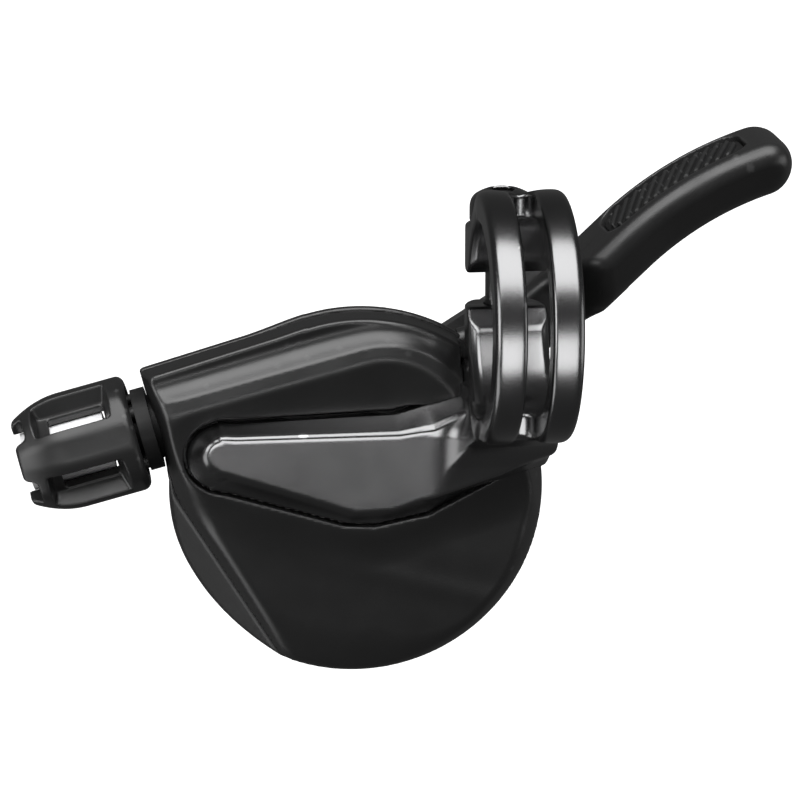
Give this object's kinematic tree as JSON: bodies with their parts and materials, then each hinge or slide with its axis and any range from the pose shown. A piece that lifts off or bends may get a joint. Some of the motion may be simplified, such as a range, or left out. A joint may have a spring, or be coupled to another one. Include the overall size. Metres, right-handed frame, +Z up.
{
  "type": "thumb shifter",
  "caption": "Left-hand bicycle thumb shifter: a handlebar clamp carries a round cable winder with a ribbed thumb lever and a barrel adjuster.",
  "frame": {"origin": "centre of the handlebar bore in the middle of the clamp's width", "axes": "+X along the bar, outboard towards the left grip; +Y back towards the rider; +Z up"},
  "size_m": [0.0946, 0.0657, 0.0532],
  "materials": {
    "forged_black": "satin black anodised aluminium forging",
    "bolt_black": "black coated steel",
    "cover_plastic": "fine grained black glass-filled nylon",
    "knob_plastic": "semi-matt moulded black",
    "lever_black": "semi-matt moulded black",
    "pad_rubber": "ribbed matt rubber",
    "arm_steel": "black coated pressed steel",
    "steel": "zinc plated",
    "spring_steel": "drawn spring steel",
    "drum_acetal": "natural acetal",
    "bushing_bronze": "sintered bronze",
    "barrel_silver": "bright turned aluminium"
  },
  "bodies": {
    "housing": {"clamp_bracket": "forged_black", "clamp_bolt": "bolt_black", "upper_cover": "cover_plastic", "lower_cover": "cover_plastic", "base_plate": "steel", "main_axle": "steel", "axle_washer": "steel", "axle_nut": "steel", "cover_screws": "steel", "bracket_screws": "steel", "cable_port_plug": "cover_plastic", "stop_pawl_pin": "steel", "stop_pawl_spring": "spring_steel", "winder_spring": "spring_steel", "lever_spring": "spring_steel", "adjuster_seat": "knob_plastic", "adjuster_spring": "spring_steel"},
    "drum": {"winder_drum": "drum_acetal", "ratchet_plate": "steel", "drum_rivets": "steel"},
    "stop_pawl": {"stop_pawl": "steel"},
    "lever": {"lever_hub": "steel", "lever_bushing": "bushing_bronze", "lever_arm": "arm_steel", "thumb_lever": "lever_black", "lever_pad": "pad_rubber", "lever_screws": "steel", "drive_plate": "steel", "drive_pawl_pin": "steel", "drive_pawl_spring": "spring_steel"},
    "drive_pawl": {"drive_pawl": "steel"},
    "adjuster_knob": {"adjuster_knob": "knob_plastic"},
    "adjuster_barrel": {"adjuster_barrel": "barrel_silver"}
  },
  "joints": [
    {"name": "lever_swing", "type": "hinge", "parent": "housing", "child": "lever", "pos_m": [-0.0167, -0.026, -0.03], "axis": [0, 0, 1], "range_deg": [-35, 0], "stiffness_Nm_per_rad": 0.05, "springref_deg": 8.59},
    {"name": "drum_turn", "type": "hinge", "parent": "housing", "child": "drum", "pos_m": [-0.0167, -0.026, -0.0217], "axis": [0, 0, 1], "range_deg": [-35, 0]},
    {"name": "stop_pawl_tilt", "type": "hinge", "parent": "housing", "child": "stop_pawl", "pos_m": [-0.03343, -0.03209, -0.025], "axis": [0, 0, 1], "range_deg": [0, 9]},
    {"name": "drive_pawl_tilt", "type": "hinge", "parent": "lever", "child": "drive_pawl", "pos_m": [-0.008, -0.01093, -0.025], "axis": [0, 0, 1], "range_deg": [0, 5], "stiffness_Nm_per_rad": 0.0005, "springref_deg": -11.46},
    {"name": "knob_turn", "type": "hinge", "parent": "housing", "child": "adjuster_knob", "pos_m": [-0.04988, -0.01965, -0.0217], "axis": [-0.9681, -0.2504, 0], "range_deg": [-600, 600]},
    {"name": "barrel_slide", "type": "slide", "parent": "housing", "child": "adjuster_barrel", "axis": [-0.9681, -0.2504, 0], "range_m": [-0.00133, 0.00133]}
  ],
  "couplings": [
    {"joint": "drum_turn", "follows": "lever_swing", "ratio": 1},
    {"joint": "stop_pawl_tilt", "follows": "lever_swing", "ratio": -0.257},
    {"joint": "knob_turn", "follows": "barrel_slide", "rad_per_m": 7854}
  ]
}
